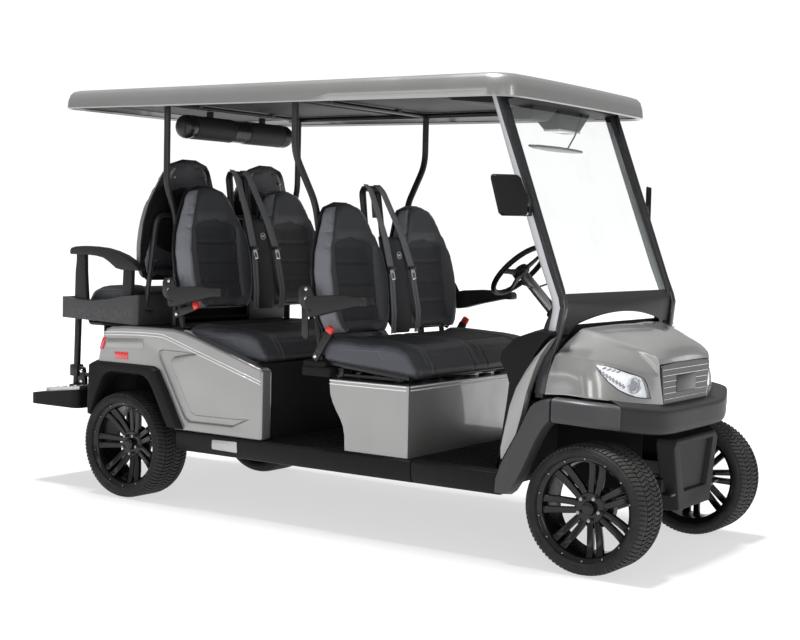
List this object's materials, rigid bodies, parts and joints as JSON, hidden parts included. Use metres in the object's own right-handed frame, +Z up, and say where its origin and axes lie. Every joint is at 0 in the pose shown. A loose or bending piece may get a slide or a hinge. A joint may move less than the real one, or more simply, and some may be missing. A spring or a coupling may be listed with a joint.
{
  "type": "six-seat golf cart",
  "caption": "Roofed six-seat golf cart with three seat rows, folding armrests, steered front wheels, tipping cushions and a rear footboard.",
  "frame": {"origin": "on the ground under the middle of the cart's bounding box", "axes": "+X forward, +Y left, +Z up"},
  "size_m": [3.7794, 1.602, 2.1454],
  "materials": {
    "body_paint": "gloss",
    "black_plastic": "matt",
    "black_steel": "satin",
    "black_alloy": "gloss",
    "tyre_rubber": "matt",
    "battery_case": "satin",
    "black_leather": "satin",
    "belt_webbing": "matt",
    "clear_glass": "gloss",
    "clear_lens": "gloss",
    "red_lens": "gloss"
  },
  "bodies": {
    "cart": {"front_axle": "black_steel", "chassis_rails": "black_steel", "cross_members": "black_steel", "leaf_springs": "black_steel", "rear_axle": "black_steel", "battery_pack": "battery_case", "floor_pan": "black_plastic", "rocker_panels": "black_plastic", "rear_seat_box": "black_plastic", "rear_flares": "black_plastic", "front_flares": "black_plastic", "front_bumper": "black_plastic", "chin_guard": "black_plastic", "wheel_liner": "black_plastic", "dashboard": "black_plastic", "grille": "black_plastic", "screen_panel": "black_plastic", "overhead_pod": "black_plastic", "mirrors": "black_plastic", "rear_side_arms": "black_plastic", "pedals": "black_plastic", "steering_column": "black_plastic", "front_seat_box": "body_paint", "quarter_panels": "body_paint", "cowl": "body_paint", "leg_shields": "body_paint", "roof_shell": "body_paint", "tail_lamps": "red_lens", "headlamps": "clear_lens", "windscreen": "clear_glass", "roof_frame": "black_steel", "front_seat_frame": "black_steel", "rear_seat_frames": "black_steel", "rear_footboard": "black_steel", "sound_bar": "black_steel", "front_backs": "black_leather", "mid_backs": "black_leather", "rear_backs": "black_leather", "seat_belts": "belt_webbing"},
    "steer_right": {"knuckle_right": "black_steel"},
    "wheel_front_right": {"tyre_front_right": "tyre_rubber", "rim_front_right": "black_alloy"},
    "wheel_rear_right": {"tyre_rear_right": "tyre_rubber", "rim_rear_right": "black_alloy"},
    "steer_left": {"knuckle_left": "black_steel"},
    "wheel_front_left": {"tyre_front_left": "tyre_rubber", "rim_front_left": "black_alloy"},
    "wheel_rear_left": {"tyre_rear_left": "tyre_rubber", "rim_rear_left": "black_alloy"},
    "tie_rod": {"tie_rod": "black_steel"},
    "steering_wheel": {"steering_wheel": "black_plastic"},
    "front_cushion": {"front_cushion": "black_leather"},
    "mid_cushion": {"mid_cushion": "black_leather"},
    "rear_cushion": {"rear_cushion": "black_leather"},
    "front_armrest_right": {"front_armrest_right": "black_plastic"},
    "front_armrest_left": {"front_armrest_left": "black_plastic"},
    "mid_armrest_right": {"mid_armrest_right": "black_plastic"},
    "mid_armrest_left": {"mid_armrest_left": "black_plastic"}
  },
  "joints": [
    {"name": "steer_right", "type": "hinge", "parent": "cart", "child": "steer_right", "pos_m": [1.6103, -0.455, 0.2794], "axis": [0, 0, 1], "range_deg": [-28, 28]},
    {"name": "roll_front_right", "type": "hinge", "parent": "steer_right", "child": "wheel_front_right", "pos_m": [1.6103, -0.552, 0.2794], "axis": [0, 1, 0], "continuous": true},
    {"name": "roll_rear_right", "type": "hinge", "parent": "cart", "child": "wheel_rear_right", "pos_m": [-1.0997, -0.552, 0.2794], "axis": [0, 1, 0], "continuous": true},
    {"name": "steer_left", "type": "hinge", "parent": "cart", "child": "steer_left", "pos_m": [1.6103, 0.455, 0.2794], "axis": [0, 0, 1], "range_deg": [-28, 28]},
    {"name": "roll_front_left", "type": "hinge", "parent": "steer_left", "child": "wheel_front_left", "pos_m": [1.6103, 0.552, 0.2794], "axis": [0, 1, 0], "continuous": true},
    {"name": "roll_rear_left", "type": "hinge", "parent": "cart", "child": "wheel_rear_left", "pos_m": [-1.0997, 0.552, 0.2794], "axis": [0, 1, 0], "continuous": true},
    {"name": "tie_rod_pivot", "type": "hinge", "parent": "steer_right", "child": "tie_rod", "pos_m": [1.4903, -0.455, 0.2014], "axis": [0, 0, 1], "range_deg": [-28, 28]},
    {"name": "steering_wheel_turn", "type": "hinge", "parent": "cart", "child": "steering_wheel", "pos_m": [0.7103, 0.33, 1.25], "axis": [-0.7193, 0, 0.6947], "range_deg": [-336, 336]},
    {"name": "front_cushion_tip", "type": "hinge", "parent": "cart", "child": "front_cushion", "pos_m": [0.6843, 0, 0.7373], "axis": [0, 1, 0], "range_deg": [0, 40]},
    {"name": "mid_cushion_tip", "type": "hinge", "parent": "cart", "child": "mid_cushion", "pos_m": [-0.2107, 0, 0.7723], "axis": [0, 1, 0], "range_deg": [0, 50]},
    {"name": "rear_cushion_tip", "type": "hinge", "parent": "cart", "child": "rear_cushion", "pos_m": [-1.5327, 0, 0.9923], "axis": [0, -1, 0], "range_deg": [0, 60]},
    {"name": "front_armrest_right_swing", "type": "hinge", "parent": "cart", "child": "front_armrest_right", "pos_m": [0.07775, -0.653, 1.13514], "axis": [0, -1, 0], "range_deg": [0, 85]},
    {"name": "front_armrest_left_swing", "type": "hinge", "parent": "cart", "child": "front_armrest_left", "pos_m": [0.07775, 0.653, 1.13514], "axis": [0, -1, 0], "range_deg": [0, 85]},
    {"name": "mid_armrest_right_swing", "type": "hinge", "parent": "cart", "child": "mid_armrest_right", "pos_m": [-0.81328, -0.653, 1.10833], "axis": [0, -1, 0], "range_deg": [0, 85]},
    {"name": "mid_armrest_left_swing", "type": "hinge", "parent": "cart", "child": "mid_armrest_left", "pos_m": [-0.81328, 0.653, 1.10833], "axis": [0, -1, 0], "range_deg": [0, 85]}
  ],
  "couplings": [
    {"joint": "steer_left", "follows": "steer_right", "ratio": 1},
    {"joint": "tie_rod_pivot", "follows": "steer_right", "ratio": -1},
    {"joint": "steering_wheel_turn", "follows": "steer_right", "ratio": 12}
  ]
}
